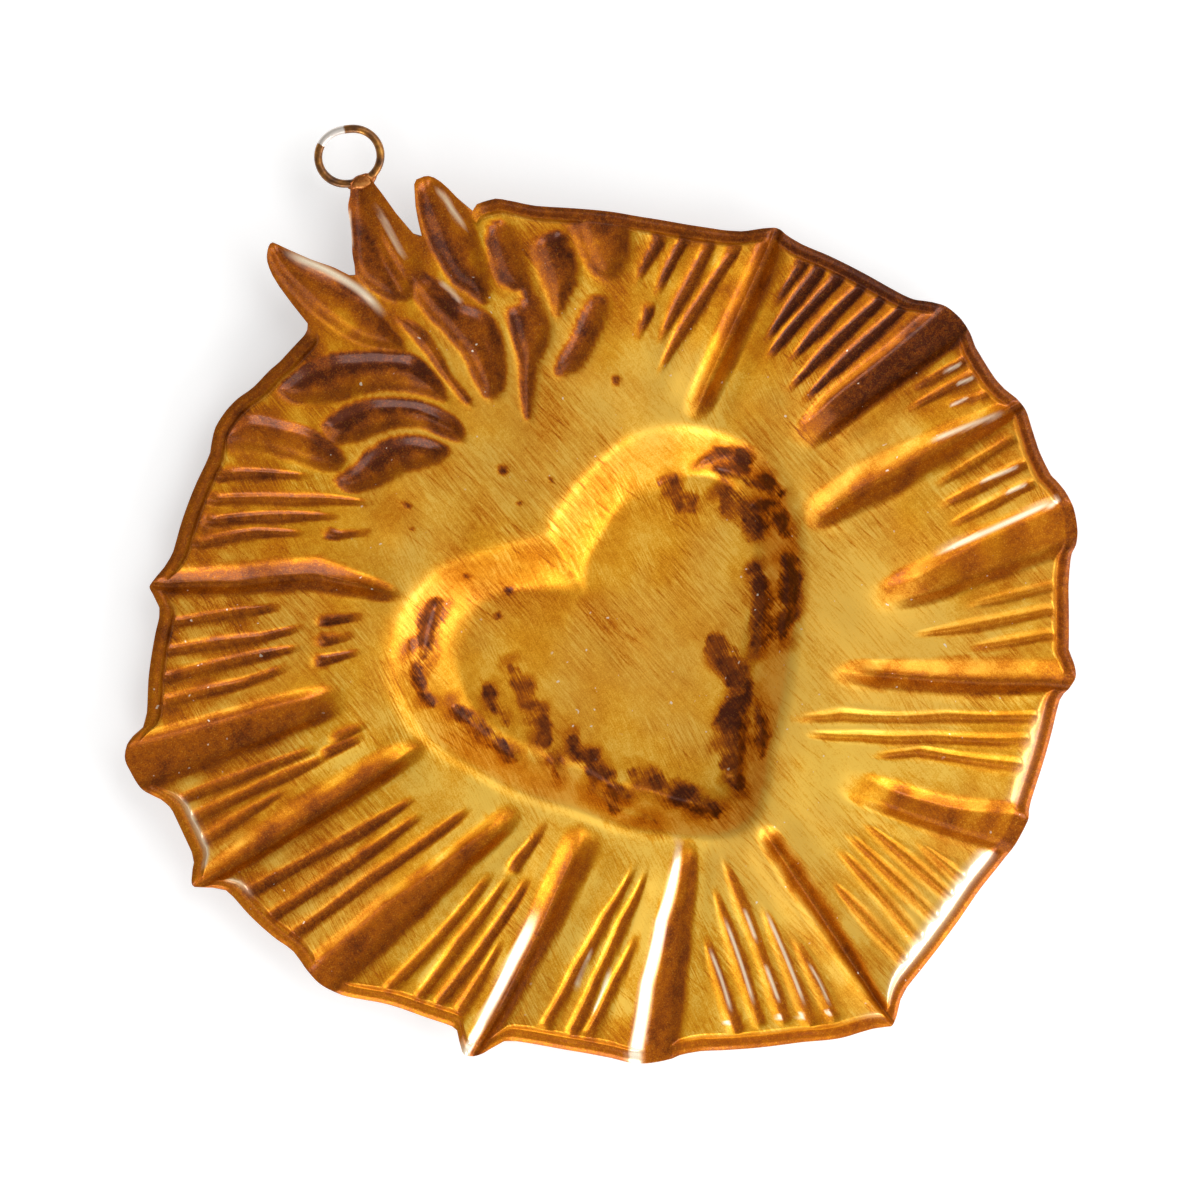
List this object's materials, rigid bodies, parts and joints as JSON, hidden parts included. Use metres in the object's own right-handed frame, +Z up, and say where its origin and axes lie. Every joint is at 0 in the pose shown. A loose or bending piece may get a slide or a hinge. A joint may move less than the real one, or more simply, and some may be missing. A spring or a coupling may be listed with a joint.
{
  "type": "pressed tin ornament",
  "caption": "Thin pressed tin ornament: a flaming heart in a halo of rays and chased lines, with a bent rim and a wire hanging ring soldered to one flame.",
  "frame": {"origin": "centre of the part's own box in plan, on the surface that it lies on", "axes": "+Z up, out of the hollow back of the sheet; +Y from the point of the heart to the hanging ring; +X to the right when the hollow side is seen with the ring on top"},
  "size_m": [0.1202, 0.1322, 0.0063],
  "materials": {
    "lacquered_tin": "antique gold rubbed over red-brown lacquer, satin, glossy in the hollows",
    "lacquered_wire": "red-brown lacquer, glossy, worn to bare metal at one place",
    "solder": "dull solder with thin lacquer"
  },
  "bodies": {
    "root": {"embossed_sheet": "lacquered_tin", "hanging_ring": "lacquered_wire", "solder_bead": "solder"}
  },
  "joints": []
}
